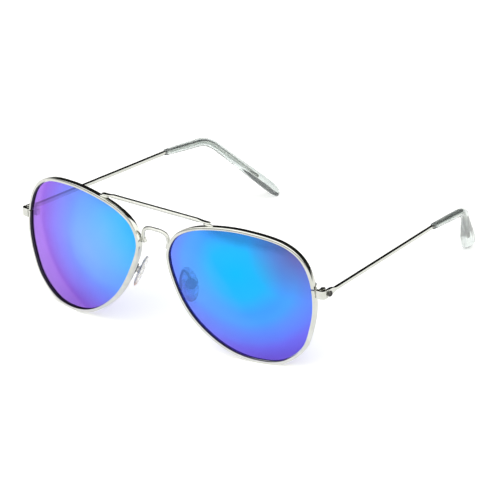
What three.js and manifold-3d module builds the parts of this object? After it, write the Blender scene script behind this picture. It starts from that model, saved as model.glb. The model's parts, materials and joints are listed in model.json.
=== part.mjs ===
// Metal aviator sunglasses: two thin eyewires joined by a straight brow bar and an
// arched bridge, nose pads on bent wire arms, and wire temples that fold on screw hinges.
// Millimetres, +Z up. +X is the wearer's left and the lenses face -Y.
// Heights and depths below are measured from the lens centres, and the finished
// group is moved at the end so that it stands on z = 0 over its own middle.

import * as THREE from 'three';
import { mergeVertices } from 'three/addons/utils/BufferGeometryUtils.js';
import Module from 'manifold-3d';

const wasm = await Module();
wasm.setup();

// Driving dimensions

const clearance = 0.3; // left between pieces that touch or fit into each other
const halfPitch = 36; // middle of the bridge to each lens centre
const wrapAngle = THREE.MathUtils.degToRad(9.8); // each lens turned back towards its temple
const lensRadius = 114; // radius of the sphere that both lenses lie on
const lensThickness = 1;
const lensSetBack = 0.3; // middle of the lens edge, behind the middle of the eyewire
const rimWidth = 1.1; // seen from the front
const rimDepth = 1.9; // front to back
const grooveDepth = 0.45;
const rimSteps = 52;
const splitHeight = 6.7; // where the eyewire is cut, above the lens centre
const splitGap = 0.5;
const wireSides = 8;
const bridgeRadius = 0.7;
const browRadius = 0.8;
const browReach = 24.4; // half the bar's length
const browY = 1.4;
const browZ = 25.2;
const padArmRadius = 0.45;
const hingeX = 66.2;
const hingeY = 11.5;
const hingeMiddle = 5.1; // height of the middle knuckle
const knuckleRadius = 0.9;
const knuckleHeight = 0.85;
const screwRadius = 0.35;
const boreRadius = screwRadius + clearance;
const pinSides = 12;

// The lens opening seen from the front: across towards the temple, then up, from the
// lens centre. A smooth closed curve runs through these points.
const openingPoints = [
  [29, 0], [28, 10], [24.5, 17], [18, 21.5], [4, 24], [-8.5, 23.5], [-19, 21], [-25.5, 17],
  [-28.5, 10.5], [-26, 1], [-20, -9.5], [-12, -17], [-3, -22], [6.5, -24], [16, -23],
  [24, -17], [27.5, -8.5],
].map(([across, up]) => new THREE.Vector3(across, 0, up));
const opening = new THREE.CatmullRomCurve3(openingPoints, true, 'centripetal');

// Colours and finishes

const finishes = {
  metal: { color: 0xd8d8d6, roughness: 0.15, metalness: 1 },
  screw: { color: 0xb9b9b6, roughness: 0.3, metalness: 1 },
  mirror: { color: 0x3f9bff, roughness: 0.05, metalness: 0.9 },
  silicone: { color: 0xe9e6df, roughness: 0.35, metalness: 0 },
  plastic: { color: 0xc3ccca, roughness: 0.2, metalness: 0 },
};

// Shape tools

const sunglasses = new THREE.Group();

function addPiece(parent, name, geometry, finish) {
  const piece = new THREE.Mesh(geometry, new THREE.MeshStandardMaterial(finishes[finish]));
  piece.name = name;
  parent.add(piece);
  return piece;
}

// Six times the volume inside a skin, negative when its faces point inwards.
function signedVolume(points, faces) {
  let total = 0;
  for (let corner = 0; corner < faces.length; corner += 3) {
    const [a, b, c] = faces.slice(corner, corner + 3).map((index) => points[index]);
    total += a.dot(new THREE.Vector3().crossVectors(b, c));
  }
  return total;
}

// Triangles over a flat ring, wound the way that the ring runs.
function capFaces(ring, firstIndex) {
  const normal = new THREE.Vector3();
  ring.forEach((point, index) => {
    normal.add(new THREE.Vector3().crossVectors(point, ring[(index + 1) % ring.length]));
  });
  const upright = new THREE.Quaternion().setFromUnitVectors(normal.normalize(), new THREE.Vector3(0, 0, 1));
  const flat = ring.map((point) => {
    const turned = point.clone().applyQuaternion(upright);
    return new THREE.Vector2(turned.x, turned.y);
  });
  return THREE.ShapeUtils.triangulateShape(flat, []).map((triangle) => {
    const corners = triangle.map((index) => flat[index]);
    const isForwards = THREE.ShapeUtils.area(corners) > 0;
    const ordered = isForwards ? triangle : [...triangle].reverse();
    return ordered.map((index) => firstIndex + index);
  });
}

// A closed skin through rings that all have the same number of points.
function loft(rings) {
  const sides = rings[0].length;
  const points = rings.flat();
  const faces = [];
  for (let ring = 0; ring < rings.length - 1; ring += 1) {
    for (let side = 0; side < sides; side += 1) {
      const here = ring * sides + side;
      const beside = ring * sides + ((side + 1) % sides);
      faces.push(here, beside, beside + sides, here, beside + sides, here + sides);
    }
  }
  for (const triangle of capFaces(rings[0], 0)) {
    faces.push(...triangle.reverse());
  }
  for (const triangle of capFaces(rings[rings.length - 1], (rings.length - 1) * sides)) {
    faces.push(...triangle);
  }
  if (signedVolume(points, faces) < 0) {
    faces.reverse();
  }
  const geometry = new THREE.BufferGeometry().setFromPoints(points);
  geometry.setIndex(faces);
  return geometry;
}

// The corners of a many-sided oval.
function roundPoints(sides, halfAcross, halfUp) {
  return Array.from({ length: sides }, (_, side) => {
    const angle = (side / sides) * Math.PI * 2;
    return new THREE.Vector2(halfAcross * Math.cos(angle), halfUp * Math.sin(angle));
  });
}

// A round wire along a smooth path.
function wire(path, radius, steps) {
  const section = new THREE.Shape(roundPoints(wireSides, radius, radius));
  return new THREE.ExtrudeGeometry(section, { steps, bevelEnabled: false, extrudePath: path });
}

// One section of a bar that changes shape: a rounded square when corner is large, an oval at 2.
function sectionRing(centre, tangent, halfAcross, halfUp, corner, sides, roll = 0) {
  const across = new THREE.Vector3(1, 0, 0).addScaledVector(tangent, -tangent.x).normalize();
  across.applyAxisAngle(tangent, roll);
  const up = new THREE.Vector3().crossVectors(across, tangent);
  const ring = [];
  for (let side = 0; side < sides; side += 1) {
    const angle = ((side + 0.5) / sides) * Math.PI * 2;
    const cos = Math.sign(Math.cos(angle)) * Math.abs(Math.cos(angle)) ** (2 / corner);
    const sin = Math.sign(Math.sin(angle)) * Math.abs(Math.sin(angle)) ** (2 / corner);
    ring.push(centre.clone().addScaledVector(across, halfAcross * cos).addScaledVector(up, halfUp * sin));
  }
  return ring;
}

// A bar along a path. Each station is [distance, half across, half up, corner].
function bar(path, stations, sides, roll) {
  const length = path.getLength();
  const rings = stations.map(([distance, halfAcross, halfUp, corner]) => {
    const place = distance / length;
    const tangent = path.getTangentAt(place);
    return sectionRing(path.getPointAt(place), tangent, halfAcross, halfUp, corner, sides, roll);
  });
  return loft(rings);
}

function toSolid(geometry) {
  const bare = geometry.clone();
  bare.deleteAttribute('normal');
  bare.deleteAttribute('uv');
  const merged = mergeVertices(bare, 1e-4);
  return new wasm.Manifold(new wasm.Mesh({
    numProp: 3,
    vertProperties: new Float32Array(merged.attributes.position.array),
    triVerts: new Uint32Array(merged.index.array),
  }));
}

function fromSolid(solid) {
  const mesh = solid.getMesh();
  const geometry = new THREE.BufferGeometry();
  geometry.setAttribute('position', new THREE.BufferAttribute(mesh.vertProperties, 3));
  geometry.setIndex(new THREE.BufferAttribute(mesh.triVerts, 1));
  return geometry;
}

function box(lowX, highX, lowY, highY, lowZ, highZ) {
  return new THREE.BoxGeometry(highX - lowX, highY - lowY, highZ - lowZ)
    .translate((lowX + highX) / 2, (lowY + highY) / 2, (lowZ + highZ) / 2);
}

// An upright cylinder centred on x = 0, y = 0.
function pin(radius, lowZ, highZ) {
  return new THREE.CylinderGeometry(radius, radius, highZ - lowZ, pinSides)
    .rotateX(Math.PI / 2)
    .translate(0, 0, (lowZ + highZ) / 2);
}

function mirrored(side, points) {
  return points.map(([x, y, z]) => new THREE.Vector3(side * x, y, z));
}

// The lens surface

// A point on or near one lens: across and up in the lens plane, and proud of its front.
function lensPoint(side, across, up, proud) {
  const sag = (across * across + up * up) / (2 * lensRadius);
  const x = halfPitch + across * Math.cos(wrapAngle) + (proud - sag) * Math.sin(wrapAngle);
  const y = across * Math.sin(wrapAngle) - (proud - sag) * Math.cos(wrapAngle);
  return new THREE.Vector3(side * x, y, up);
}

// A point beside the opening's edge: a place along the edge from 0 to 1, then outwards.
function edgePoint(side, place, outwards, proud) {
  const point = opening.getPointAt(place % 1);
  const tangent = opening.getTangentAt(place % 1);
  return lensPoint(side, point.x + outwards * tangent.z, point.z - outwards * tangent.x, proud);
}

const openingLength = opening.getLength();
const splitPlace = splitHeight / openingLength;

// The eyewire is an open C, cut at its temple side, with a groove that holds the lens.
function rim(side) {
  const half = rimDepth / 2;
  const profile = [
    [0, half], [rimWidth, half], [rimWidth, -half], [0, -half],
    [0, -0.5 - lensSetBack], [grooveDepth, -0.25 - lensSetBack],
    [grooveDepth, 0.25 - lensSetBack], [0, 0.5 - lensSetBack],
  ];
  const start = splitPlace + splitGap / 2 / openingLength;
  const span = 1 - splitGap / openingLength;
  const rings = [];
  for (let step = 0; step <= rimSteps; step += 1) {
    const place = start + (span * step) / rimSteps;
    rings.push(profile.map(([outwards, proud]) => edgePoint(side, place, outwards, proud)));
  }
  return loft(rings);
}

// The lens is a curved plate whose bevelled edge sits in the groove.
function lens(side) {
  const half = lensThickness / 2;
  const edgeHalf = 0.12;
  const edgeOut = grooveDepth - clearance;
  const faceIn = -(clearance + 0.05);
  const scales = [0.33, 0.67];
  const places = Array.from({ length: rimSteps }, (_, step) => step / rimSteps);
  const faceRing = (scale, proud) => places.map((place) => {
    const point = opening.getPointAt(place);
    return lensPoint(side, point.x * scale, point.z * scale, proud - lensSetBack);
  });
  const edgeRing = (outwards, proud) => places.map((place) => (
    edgePoint(side, place, outwards, proud - lensSetBack)
  ));
  return loft([
    ...scales.map((scale) => faceRing(scale, half)),
    edgeRing(faceIn, half),
    edgeRing(edgeOut, edgeHalf),
    edgeRing(edgeOut, -edgeHalf),
    edgeRing(faceIn, -half),
    ...scales.reverse().map((scale) => faceRing(scale, -half)),
  ]);
}

// Bars between the eyewires

function browBar() {
  const flat = [0.95, 0.4];
  const end = [[browReach, 0.6, 0.3], [browReach - 0.7, ...flat], [browReach - 3, ...flat]];
  const half = [...end, [browReach - 5.5, browRadius, browRadius]];
  const stations = [...half.map(([x, ...sizes]) => [-x, ...sizes]), ...half.reverse()];
  return loft(stations.map(([x, halfDepth, halfUp]) => roundPoints(wireSides, halfDepth, halfUp)
    .map((point) => new THREE.Vector3(x, browY + point.x, browZ + point.y))));
}

function noseBridge() {
  const leg = [[4.9, 0.7, 11.2], [5.6, 0.6, 13.2], [5.5, 0.55, 15.2], [4.6, 0.5, 16.5], [2.6, 0.4, 17.2]];
  const crown = [[0, 0.4, 17.3]];
  const path = new THREE.CatmullRomCurve3([
    ...mirrored(-1, leg), ...mirrored(1, crown), ...mirrored(1, leg.reverse()),
  ], false, 'centripetal');
  return wire(path, bridgeRadius, 24);
}

addPiece(sunglasses, 'nose_bridge', noseBridge(), 'metal');
addPiece(sunglasses, 'brow_bar', browBar(), 'metal');

// Nose pads. The pad's own frame has z pointing away from the nose, y along the pad's
// length towards its top, and x along the screw that it rocks on.

const padMiddle = [10.8, 4.7, -2.9];
const padOutwards = [0.785, -0.453, 0.423];
const padHalf = new THREE.Vector3(3.7, 6.3, 1.3);
const cupRadius = 1.95;
const cupWall = 0.45;
const cupLow = padHalf.z + 0.4;
const cupHigh = cupLow + 1.7;
const padScrewHeight = cupLow + 0.6;
const padScrewRadius = 0.25;
const padScrewBore = padScrewRadius + clearance;
const stemRadius = cupRadius - cupWall - clearance;

function padPlacement(side) {
  const outwards = new THREE.Vector3(side * padOutwards[0], padOutwards[1], padOutwards[2]).normalize();
  const along = new THREE.Vector3(0, 0, 1).addScaledVector(outwards, -outwards.z).normalize();
  const acrossPad = new THREE.Vector3().crossVectors(along, outwards);
  const placement = new THREE.Matrix4().makeBasis(acrossPad, along, outwards);
  return placement.setPosition(side * padMiddle[0], padMiddle[1], padMiddle[2]);
}

// The arm leaves the back of the eyewire, loops up and over, and ends in a round cup.
function padArm(side) {
  const placement = padPlacement(side);
  const cupTop = new THREE.Vector3(0, cupRadius - 0.2, (cupLow + cupHigh) / 2).applyMatrix4(placement);
  const path = new THREE.CatmullRomCurve3([
    ...mirrored(side, [[11.1, -0.2, -2.8], [10.5, 0.5, 0.2], [10.5, 1.5, 2.5], [11, 2.3, 3.3], [11.8, 3, 2.2]]),
    cupTop,
  ], false, 'centripetal');
  const pocket = pin(cupRadius - cupWall, cupLow - 1, cupHigh - cupWall);
  const crossHole = pin(padScrewBore, -3, 3).rotateY(Math.PI / 2).translate(0, 0, padScrewHeight);
  const cup = toSolid(pin(cupRadius, cupLow, cupHigh).applyMatrix4(placement));
  return fromSolid(
    toSolid(wire(path, padArmRadius, 22)).add(cup)
      .subtract(toSolid(pocket.applyMatrix4(placement)))
      .subtract(toSolid(crossHole.applyMatrix4(placement))),
  );
}

// The pad is a soft oval with a short stem on its back that sits in the cup.
function nosePad() {
  const oval = new THREE.SphereGeometry(1, 16, 9).rotateX(Math.PI / 2).scale(padHalf.x, padHalf.y, padHalf.z);
  const stem = pin(stemRadius, 0, cupLow + 0.95);
  const stemEnd = toSolid(oval).add(toSolid(stem));
  const crossHole = pin(padScrewBore, -3, 3).rotateY(Math.PI / 2).translate(0, 0, padScrewHeight);
  return fromSolid(stemEnd.subtract(toSolid(crossHole)));
}

// A short cross screw through the cup.
function padScrew() {
  const shank = toSolid(pin(padScrewRadius, -cupRadius, cupRadius + clearance));
  const head = toSolid(pin(0.55, cupRadius + clearance, cupRadius + clearance + 0.35));
  return fromSolid(shank.add(head)).rotateY(Math.PI / 2).translate(0, 0, padScrewHeight);
}

// Closing blocks and end pieces at the temple side of each eyewire

const blockX = 62.95;
const blockY = 10.6;
const blockHalf = 0.75;
const upperBlock = [splitHeight + 0.25, splitHeight + 1.25];
const lowerBlock = [splitHeight - 2.25, splitHeight - 0.25];

function closingBlock(side, [low, high]) {
  const middle = side * blockX;
  const block = box(middle - blockHalf, middle + blockHalf, blockY - blockHalf, blockY + blockHalf, low, high);
  const bore = pin(boreRadius, low - 1, high + 1).translate(middle, blockY, 0);
  return fromSolid(toSolid(block).subtract(toSolid(bore)));
}

function closingScrew(side) {
  const under = upperBlock[1] + clearance;
  const shank = toSolid(pin(screwRadius, lowerBlock[0], under));
  const head = toSolid(pin(0.6, under, under + 0.25));
  return fromSolid(shank.add(head)).translate(side * blockX, blockY, 0);
}

const endPieceHeight = 3.1;
const seamY = 10.3;
const plateThickness = 1.2;
const plateOuterX = 68.7;
const plateInnerX = plateOuterX - plateThickness;

// A bent plate that runs outwards from the eyewire and turns back to meet the temple.
function endPiece(side) {
  const plan = new THREE.Shape();
  plan.moveTo(side * 65.5, 8.3);
  plan.lineTo(side * 67, 8.4);
  plan.quadraticCurveTo(side * plateOuterX, 8.5, side * plateOuterX, seamY - 0.3);
  plan.lineTo(side * plateOuterX, seamY);
  plan.lineTo(side * plateInnerX, seamY);
  plan.lineTo(side * plateInnerX, seamY - 0.4);
  plan.lineTo(side * 66.9, 9.4);
  plan.lineTo(side * 65.4, 9.4);
  plan.closePath();
  const settings = { depth: endPieceHeight, bevelEnabled: false, curveSegments: 5 };
  return new THREE.ExtrudeGeometry(plan, settings).translate(0, 0, hingeMiddle - endPieceHeight / 2);
}

// Hinges. The frame leaf carries two knuckles and the temple leaf one between them.

const knuckleStep = knuckleHeight + clearance;
const tongueThickness = 0.6;

function hingeLeafFrame(side) {
  const top = hingeMiddle + knuckleHeight / 2 + knuckleStep;
  const bottom = hingeMiddle - knuckleHeight / 2 - knuckleStep;
  const leaf = toSolid(box(-0.7, 0.7, -1.8, -1.2, bottom, top));
  const arms = toSolid(box(-0.6, 0.6, -1.3, 0, bottom, top));
  const knuckles = toSolid(pin(knuckleRadius, bottom, top));
  const middleRoom = pin(knuckleRadius + clearance, -knuckleHeight / 2 - clearance, knuckleHeight / 2 + clearance);
  const bore = toSolid(pin(boreRadius, bottom - 1, top + 1));
  return fromSolid(
    leaf.add(arms).add(knuckles)
      .subtract(toSolid(middleRoom.translate(0, 0, hingeMiddle)))
      .subtract(bore),
  ).translate(side * hingeX, hingeY, 0);
}

function hingeLeafTemple(side) {
  const low = hingeMiddle - knuckleHeight / 2;
  const high = hingeMiddle + knuckleHeight / 2;
  const middle = side * tongueThickness / 2;
  const tongue = toSolid(box(middle - tongueThickness / 2, middle + tongueThickness / 2, 0, 4, low, high));
  const knuckle = toSolid(pin(knuckleRadius, low, high));
  const bore = toSolid(pin(boreRadius, low - 1, high + 1));
  return fromSolid(tongue.add(knuckle).subtract(bore));
}

// The screw goes in from below, so that its head is out of sight under the hinge.
function hingeScrew(side) {
  const top = hingeMiddle + knuckleHeight / 2 + knuckleStep;
  const under = hingeMiddle - knuckleHeight / 2 - knuckleStep - clearance;
  const shank = toSolid(pin(screwRadius, under, top));
  const head = toSolid(pin(0.85, under - 0.4, under));
  return fromSolid(shank.add(head)).translate(side * hingeX, hingeY, 0);
}

// Temples. These paths are in the hinge's own frame, so each temple can turn on it.

const flareStart = [plateOuterX - plateThickness / 2 - hingeX, seamY + clearance + 0.05 - hingeY, hingeMiddle];
const sleeveStart = [61.2 - hingeX, 82.1 - hingeY, 3.3];
const bendCorner = [58.7 - hingeX, 103.7 - hingeY, 1.1];
const tipEnd = [43.7 - hingeX, 125.5 - hingeY, -24.55];
const bendReach = 5;
const coreLength = 47;
const paddleRoll = THREE.MathUtils.degToRad(34); // turns the paddle's flat face outwards
const rivetBack = 1.2; // behind the temple's front end

function tipPath(side, start) {
  const [from, corner, to] = mirrored(side, [start, bendCorner, tipEnd]);
  const before = corner.clone().lerp(from, bendReach / corner.distanceTo(from));
  const after = corner.clone().lerp(to, bendReach / corner.distanceTo(to));
  const path = new THREE.CurvePath();
  path.add(new THREE.LineCurve3(from, before));
  path.add(new THREE.QuadraticBezierCurve3(before, corner, after));
  path.add(new THREE.LineCurve3(after, to));
  return path;
}

// A flat flared front end, a round wire, and the thinner core that runs on inside the tip.
function templeWire(side) {
  const [front, sleeve] = mirrored(side, [flareStart, sleeveStart]);
  const straight = new THREE.LineCurve3(front, sleeve);
  const inside = tipPath(side, sleeveStart);
  const run = straight.getLength();
  const half = plateThickness / 2;
  const rings = [];
  const flare = [
    [0, half, 1.55, 7], [2.6, half, 1.55, 7], [3.9, half, 1.4, 5], [5, half, 1, 3], [6.2, 0.7, 0.75, 2],
  ];
  for (const [distance, across, up, corner] of flare) {
    rings.push(sectionRing(straight.getPointAt(distance / run), straight.getTangentAt(0), across, up, corner, 12));
  }
  for (const distance of [30, run - 1]) {
    rings.push(sectionRing(straight.getPointAt(distance / run), straight.getTangentAt(0), 0.7, 0.7, 2, 12));
  }
  for (const distance of [0.5, 8, 16.5, 18.5, 20.5, 22.5, 24.5, 27, coreLength]) {
    const place = distance / inside.getLength();
    rings.push(sectionRing(inside.getPointAt(place), inside.getTangentAt(place), 0.6, 0.6, 2, 12));
  }
  const hole = pin(boreRadius, -3, 3).rotateY(Math.PI / 2).translate(front.x, front.y + rivetBack, front.z);
  return fromSolid(toSolid(loft(rings)).subtract(toSolid(hole)));
}

// A domed rivet head on the outside of the flared end.
function templeRivet(side) {
  const outside = plateThickness / 2 + clearance;
  const shankEnd = -(plateThickness + 0.1);
  const profile = [
    [0, shankEnd], [screwRadius, shankEnd], [screwRadius, 0], [1.1, 0],
    [1.1, 0.12], [0.9, 0.34], [0.5, 0.46], [0, 0.5],
  ].map(([radius, height]) => new THREE.Vector2(radius, height));
  const rivet = new THREE.LatheGeometry(profile, pinSides);
  return rivet.rotateZ(-side * Math.PI / 2).translate(
    side * (flareStart[0] + outside), flareStart[1] + rivetBack, flareStart[2],
  );
}

// A clear plastic tip, moulded over the core, that flattens into a paddle.
function templeTip(side) {
  const path = tipPath(side, sleeveStart);
  const length = path.getLength();
  const stations = [
    [0, 1.15, 1.15, 2], [0.6, 1.25, 1.25, 2], [8, 1.4, 1.45, 2], [16.5, 1.5, 1.6, 2], [18.6, 1.5, 1.6, 2],
    [20.8, 1.5, 1.6, 2], [23, 1.5, 1.65, 2], [25.2, 1.5, 1.65, 2], [27.5, 1.5, 1.75, 2], [36, 1.5, 2.1, 2],
    [45, 1.5, 2.8, 2.2], [length - 6, 1.45, 3.1, 2.3], [length - 2.5, 1.35, 2.9, 2.3],
    [length - 0.8, 1, 2.2, 2.3], [length, 0.6, 1.4, 2],
  ];
  const boreStations = [0.01, 8, 16.5, 18.5, 20.5, 22.5, 24.5, 27, coreLength + 0.4]
    .map((distance) => [distance, 0.9, 0.9, 2]);
  const boreRings = boreStations.map(([distance, across, up, corner]) => {
    const place = distance / length;
    return sectionRing(path.getPointAt(place), path.getTangentAt(place), across, up, corner, 10);
  });
  const mouth = boreRings[0].map((point) => point.clone().addScaledVector(path.getTangentAt(0), -1));
  const body = toSolid(bar(path, stations, 14, side * paddleRoll));
  return fromSolid(body.subtract(toSolid(loft([mouth, ...boreRings]))));
}

// Both sides

for (const [name, side] of [['left', 1], ['right', -1]]) {
  addPiece(sunglasses, `${name}_rim`, rim(side), 'metal');
  addPiece(sunglasses, `${name}_lens`, lens(side), 'mirror');
  addPiece(sunglasses, `${name}_pad_arm`, padArm(side), 'metal');
  addPiece(sunglasses, `${name}_closing_block_upper`, closingBlock(side, upperBlock), 'metal');
  addPiece(sunglasses, `${name}_closing_block_lower`, closingBlock(side, lowerBlock), 'metal');
  addPiece(sunglasses, `${name}_closing_screw`, closingScrew(side), 'screw');
  addPiece(sunglasses, `${name}_end_piece`, endPiece(side), 'metal');
  addPiece(sunglasses, `${name}_hinge_leaf_frame`, hingeLeafFrame(side), 'metal');
  addPiece(sunglasses, `${name}_hinge_screw`, hingeScrew(side), 'screw');

  const pad = new THREE.Group();
  pad.applyMatrix4(padPlacement(side));
  addPiece(pad, `${name}_nose_pad`, nosePad(), 'silicone');
  addPiece(pad, `${name}_pad_screw`, padScrew(), 'screw');
  sunglasses.add(pad);

  const temple = new THREE.Group();
  temple.position.set(side * hingeX, hingeY, 0);
  addPiece(temple, `${name}_hinge_leaf_temple`, hingeLeafTemple(side), 'metal');
  addPiece(temple, `${name}_temple_wire`, templeWire(side), 'metal');
  addPiece(temple, `${name}_temple_rivet`, templeRivet(side), 'screw');
  addPiece(temple, `${name}_temple_tip`, templeTip(side), 'plastic');
  sunglasses.add(temple);
}

// Stand the sunglasses on z = 0, centred over the origin.
const bounds = new THREE.Box3().setFromObject(sunglasses, true);
sunglasses.position.y = -(bounds.min.y + bounds.max.y) / 2;
sunglasses.position.z = -bounds.min.z;
sunglasses.updateMatrixWorld(true);

export default sunglasses;
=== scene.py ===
"""Metal aviator sunglasses with blue mirror lenses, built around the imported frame.

Every piece is modelled in millimetres round the lens centres: +x is the wearer's left,
the lenses face -y and +z is up. set_down() then scales it to metres and moves it into
the frame's place. The left side is modelled and the right side is its mirrored copy.
"""

import json
import math

import bmesh
import bpy
from mathutils import Matrix, Vector
from mathutils.geometry import interpolate_bezier


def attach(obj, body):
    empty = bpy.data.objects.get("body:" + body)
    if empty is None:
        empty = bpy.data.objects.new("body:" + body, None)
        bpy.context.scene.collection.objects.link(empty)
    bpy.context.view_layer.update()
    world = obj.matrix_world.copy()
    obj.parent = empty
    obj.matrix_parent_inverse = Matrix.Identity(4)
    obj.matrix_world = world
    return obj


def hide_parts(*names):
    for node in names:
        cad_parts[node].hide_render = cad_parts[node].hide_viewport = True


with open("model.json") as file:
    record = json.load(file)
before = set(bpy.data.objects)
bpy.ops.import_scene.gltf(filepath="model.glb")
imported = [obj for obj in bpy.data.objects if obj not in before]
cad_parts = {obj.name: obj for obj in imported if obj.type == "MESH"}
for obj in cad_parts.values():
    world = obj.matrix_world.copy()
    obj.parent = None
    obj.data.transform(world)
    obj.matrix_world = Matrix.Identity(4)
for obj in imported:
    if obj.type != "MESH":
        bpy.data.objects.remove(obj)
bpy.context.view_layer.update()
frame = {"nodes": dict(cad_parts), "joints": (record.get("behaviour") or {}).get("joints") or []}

# Sizes in millimetres, as in the frame's own source

MM = 0.001
HALF_PITCH = 36.0
WRAP = math.radians(9.8)
LENS_RADIUS = 114.0
RIM_WIDTH = 1.1
RIM_HALF_DEPTH = 0.95
GROOVE_DEPTH = 0.45
LENS_SET_BACK = 0.3
LENS_HALF_THICKNESS = 0.5
SPLIT_HEIGHT = 6.7
SPLIT_GAP = 0.5
MERGE_WITHIN = 0.001
HINGE = Vector((66.2, 11.5, 5.1))
OPENING = [
    (29, 0), (28, 10), (24.5, 17), (18, 21.5), (4, 24), (-8.5, 23.5), (-19, 21), (-25.5, 17),
    (-28.5, 10.5), (-26, 1), (-20, -9.5), (-12, -17), (-3, -22), (6.5, -24), (16, -23),
    (24, -17), (27.5, -8.5),
]

joint_places = {joint["name"]: Vector(joint["pos_m"]) for joint in frame["joints"]}
lens_centre_plane = joint_places["left_temple_fold"] - HINGE * MM


# Small tools

def nothing_selected():
    if bpy.context.object and bpy.context.object.mode != "OBJECT":
        bpy.ops.object.mode_set(mode="OBJECT")
    bpy.ops.object.select_all(action="DESELECT")


def take(piece):
    nothing_selected()
    piece.select_set(True)
    bpy.context.view_layer.objects.active = piece


def settle_into_mesh():
    """Moves the active object's place, turn and size into its mesh."""
    bpy.ops.object.transform_apply(location=True, rotation=True, scale=True)


def pick(piece, kind, wanted):
    """Enters edit mode with only the wanted vertices, edges or faces selected."""
    take(piece)
    bpy.ops.object.mode_set(mode="EDIT")
    bpy.ops.mesh.select_mode(type={"verts": "VERT", "edges": "EDGE", "faces": "FACE"}[kind])
    bpy.ops.mesh.select_all(action="DESELECT")
    shape = bmesh.from_edit_mesh(piece.data)
    for part in getattr(shape, kind):
        if wanted(part):
            part.select_set(True)
    shape.select_flush_mode()
    bmesh.update_edit_mesh(piece.data)


def leave():
    bpy.ops.object.mode_set(mode="OBJECT")


def apply_modifier(piece, kind, **settings):
    take(piece)
    modifier = piece.modifiers.new(kind.title(), kind)
    for setting, value in settings.items():
        setattr(modifier, setting, value)
    bpy.ops.object.modifier_apply(modifier=modifier.name)


def rounded(piece, width, segments=3, angle=35):
    """Breaks the sharp edges, as tumbling and polishing do."""
    apply_modifier(
        piece, "BEVEL", width=width, segments=segments, limit_method="ANGLE",
        angle_limit=math.radians(angle), use_clamp_overlap=True,
    )


def smoothed(piece, angle=35):
    take(piece)
    bpy.ops.object.shade_smooth_by_angle(angle=math.radians(angle))


def joined(first, *others):
    take(first)
    for other in others:
        other.select_set(True)
    bpy.ops.object.join()
    return first


def merged(piece):
    pick(piece, "verts", lambda vert: True)
    bpy.ops.mesh.remove_doubles(threshold=MERGE_WITHIN)
    leave()


def turned_out(piece):
    pick(piece, "faces", lambda face: True)
    bpy.ops.mesh.normals_make_consistent(inside=False)
    leave()


def centripetal_handles(points, closed):
    """(left handle, point, right handle) for a smooth curve through the points."""
    count = len(points)
    places = [Vector(point).to_3d() for point in points]

    def at(index):
        if closed:
            return places[index % count]
        if index < 0:
            return places[0] * 2 - places[1]
        if index >= count:
            return places[-1] * 2 - places[-2]
        return places[index]

    handles = []
    for index in range(count):
        before, here, after = at(index - 1), at(index), at(index + 1)
        step_in = math.sqrt((here - before).length)
        step_out = math.sqrt((after - here).length)
        slope = (
            (here - before) / step_in
            - (after - before) / (step_in + step_out)
            + (after - here) / step_out
        )
        handles.append((here - slope * step_in / 3, here, here + slope * step_out / 3))
    return handles


def bezier(knots, closed=False):
    """A curve object from (left handle, point, right handle) knots."""
    nothing_selected()
    bpy.ops.curve.primitive_bezier_curve_add(location=(0, 0, 0))
    curve = bpy.context.object
    spline = curve.data.splines[0]
    spline.bezier_points.add(len(knots) - 2)
    for knot, (left, here, right) in zip(spline.bezier_points, knots):
        knot.handle_left_type = knot.handle_right_type = "FREE"
        knot.co, knot.handle_left, knot.handle_right = here, left, right
        knot.radius = 1
    spline.use_cyclic_u = closed
    curve.data.dimensions = "3D"
    return curve


def round_wire(points, radius, resolution=12, ends=True):
    """A round wire bent along a smooth path."""
    curve = bezier(centripetal_handles(points, False))
    curve.data.resolution_u = resolution
    curve.data.bevel_depth = radius
    curve.data.bevel_resolution = 6
    curve.data.use_fill_caps = ends
    take(curve)
    bpy.ops.object.convert(target="MESH")
    wire = bpy.context.object
    merged(wire)
    turned_out(wire)
    return wire


def pin(radius, low, high, sides=32, bevel=0.06):
    """An upright turned pin."""
    nothing_selected()
    bpy.ops.mesh.primitive_cylinder_add(
        vertices=sides, radius=radius, depth=high - low, location=(0, 0, (low + high) / 2),
    )
    piece = bpy.context.object
    settle_into_mesh()
    if bevel:
        rounded(piece, bevel, 2, 50)
    return piece


def block(low, high):
    nothing_selected()
    middle = [(a + b) / 2 for a, b in zip(low, high)]
    bpy.ops.mesh.primitive_cube_add(size=1, location=middle)
    piece = bpy.context.object
    piece.scale = [b - a for a, b in zip(low, high)]
    settle_into_mesh()
    return piece


def cut(piece, tool):
    apply_modifier(piece, "BOOLEAN", object=tool, operation="DIFFERENCE", solver="EXACT")
    bpy.data.objects.remove(tool)


def fused(piece, tool):
    apply_modifier(piece, "BOOLEAN", object=tool, operation="UNION", solver="EXACT")
    bpy.data.objects.remove(tool)


def bead(middle, radii):
    """A drop of solder, to be fused into the piece that it holds."""
    nothing_selected()
    bpy.ops.mesh.primitive_uv_sphere_add(segments=24, ring_count=12, radius=1, location=middle)
    drop = bpy.context.object
    drop.scale = radii
    settle_into_mesh()
    return drop


def moved(piece, matrix):
    take(piece)
    piece.matrix_world = matrix
    settle_into_mesh()
    return piece


# Naming, placing and mirroring

def set_down(piece, name, body, materials, nodes=()):
    """Scales a finished piece to metres, puts it in the frame's place and says what it is."""
    piece.name = piece.data.name = name
    moved(piece, Matrix.Translation(lens_centre_plane) @ Matrix.Scale(MM, 4))
    piece.data.materials.clear()
    for material in materials:
        piece.data.materials.append(material)
    hand_in(piece, body, nodes)
    return piece


def hand_in(piece, body, nodes):
    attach(piece, body)
    if nodes:
        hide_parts(*nodes)


def without_marks(piece):
    """Takes off what a copy inherits of its original's place in the frame."""
    for key in [key for key in piece.keys() if key.startswith("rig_")]:
        del piece[key]


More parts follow.
